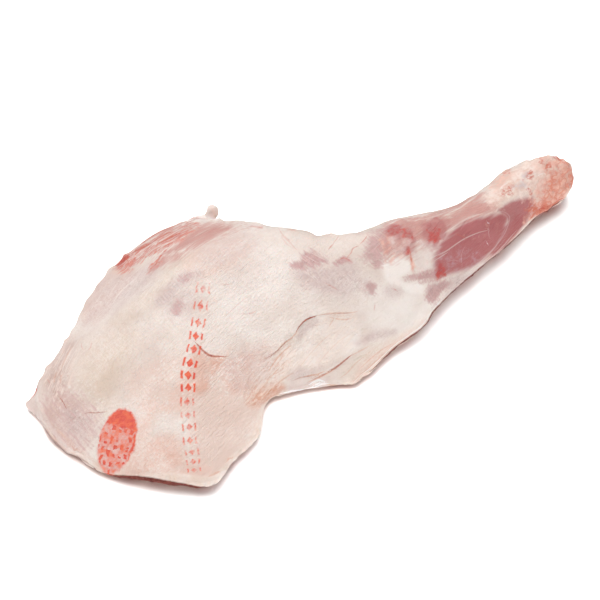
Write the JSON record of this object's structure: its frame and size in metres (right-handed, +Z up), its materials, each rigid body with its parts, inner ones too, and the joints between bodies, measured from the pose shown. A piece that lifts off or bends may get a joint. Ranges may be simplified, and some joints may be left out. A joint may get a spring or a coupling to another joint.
{
  "type": "raw lamb shoulder",
  "caption": "Raw bone-in shoulder of lamb: a broad flat blade end under a coat of fat narrows past the elbow to a round red shank, lying with the fat side up.",
  "frame": {"origin": "under the middle of the overall box, on the surface that the meat lies on", "axes": "+X along the limb from the blade end to the knuckle, +Y across it towards the rounded far edge of the blade, +Z up"},
  "size_m": [0.401, 0.197, 0.0545],
  "materials": {
    "lamb_fat_and_meat": "moist cream fat with a thin silvery skin, over pink to deep red lean"
  },
  "bodies": {
    "root": {"lamb_shoulder": "lamb_fat_and_meat"}
  },
  "joints": []
}
